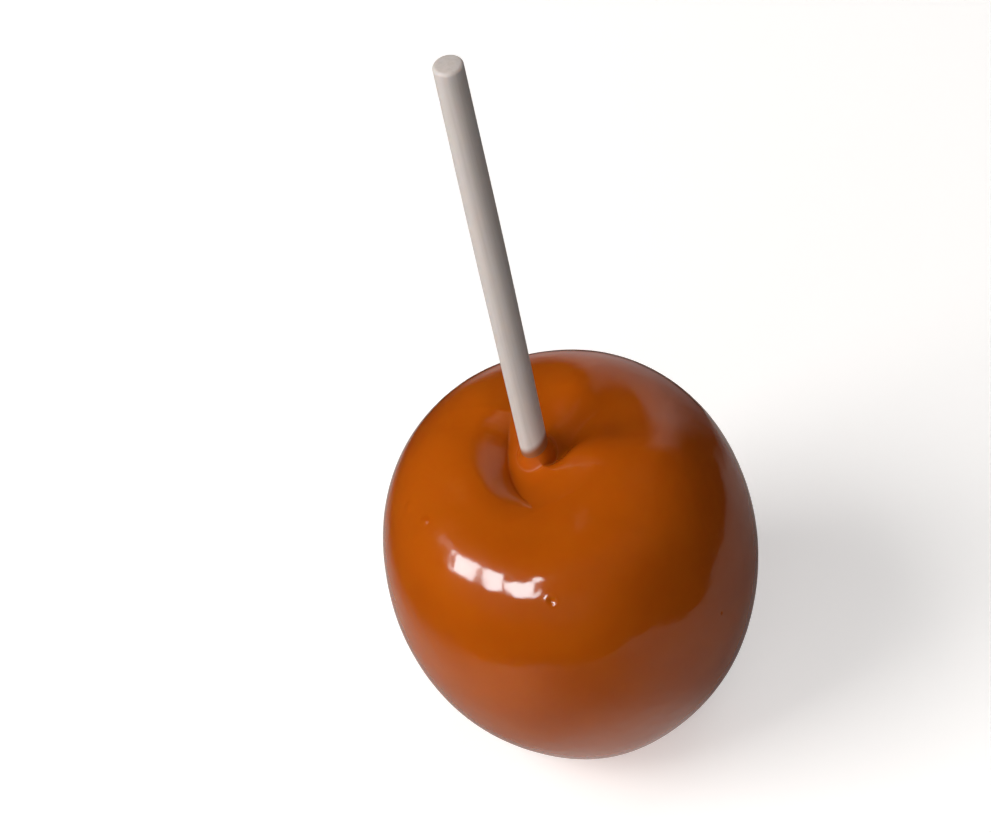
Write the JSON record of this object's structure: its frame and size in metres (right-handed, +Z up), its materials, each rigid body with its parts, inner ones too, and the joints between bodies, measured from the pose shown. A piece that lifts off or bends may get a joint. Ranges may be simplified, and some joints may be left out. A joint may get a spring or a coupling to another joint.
{
  "type": "caramel apple",
  "caption": "Round apple in a smooth, uneven coat of glossy caramel, standing on a flat foot, with a plain wooden stick upright in the dimple at its top.",
  "frame": {"origin": "centre of the flat foot that the apple rests on; the stick enters 2.3 mm to its left", "axes": "+Z up along the stick, -Y the front, seen in the picture, +X to its right"},
  "size_m": [0.0771, 0.0772, 0.178],
  "materials": {
    "caramel": "glossy set caramel, orange-brown, smooth with slight waves and a few bubble pits",
    "wood": "bare pale wood, matte, with fine grain along the stick"
  },
  "bodies": {
    "root": {"coated_apple": "caramel", "stick": "wood"}
  },
  "joints": []
}
